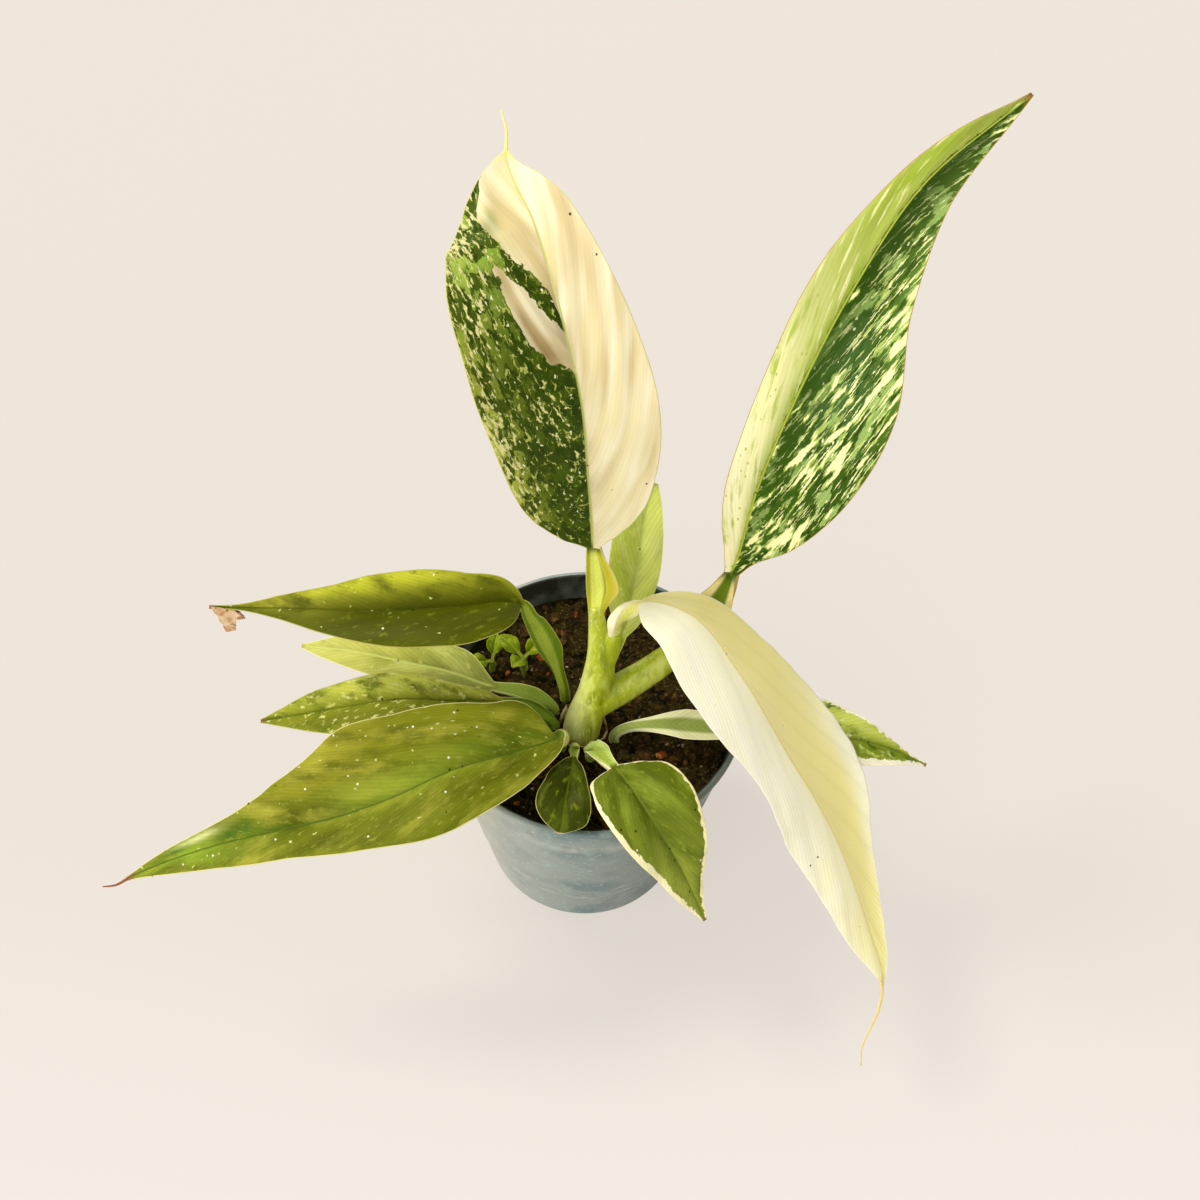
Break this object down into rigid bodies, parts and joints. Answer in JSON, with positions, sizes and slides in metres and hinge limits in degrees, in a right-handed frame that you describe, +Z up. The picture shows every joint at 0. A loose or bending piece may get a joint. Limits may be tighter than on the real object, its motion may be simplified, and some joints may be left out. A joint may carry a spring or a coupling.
{
  "type": "potted philodendron",
  "caption": "Small variegated philodendron with upright, spreading and drooping leaves, rooted in dark bark soil in a round tapered plastic nursery pot.",
  "frame": {"origin": "middle of the pot's base, on the surface that the pot stands on", "axes": "+Z up along the pot's axis; -Y towards the side that the drooping front leaves face; +X towards the tall right-hand leaf"},
  "size_m": [0.2613, 0.1756, 0.2724],
  "materials": {
    "pot_plastic": "matte moulded",
    "soil_mix": "rough, damp bark and peat",
    "stem_green": "satin, waxy",
    "leaf_marbled": "satin, waxy, marbled cream and green",
    "leaf_ivory": "satin, waxy",
    "leaf_olive": "satin, waxy",
    "leaf_green": "satin, waxy",
    "leaf_pale_green": "satin, waxy",
    "seedling": "satin"
  },
  "bodies": {
    "root": {"pot": "pot_plastic", "soil": "soil_mix", "crown": "stem_green", "leaf_centre_upright": "leaf_marbled", "leaf_right_upright": "leaf_marbled", "leaf_right_drooping": "leaf_ivory", "leaf_left_upper": "leaf_olive", "leaf_left_back": "leaf_pale_green", "leaf_left_middle": "leaf_olive", "leaf_left_long": "leaf_olive", "leaf_front": "leaf_green", "leaf_front_small": "leaf_olive", "leaf_right_low": "leaf_green", "leaf_back": "leaf_pale_green", "seedling_left": "seedling", "seedling_far_left": "seedling"}
  },
  "joints": []
}
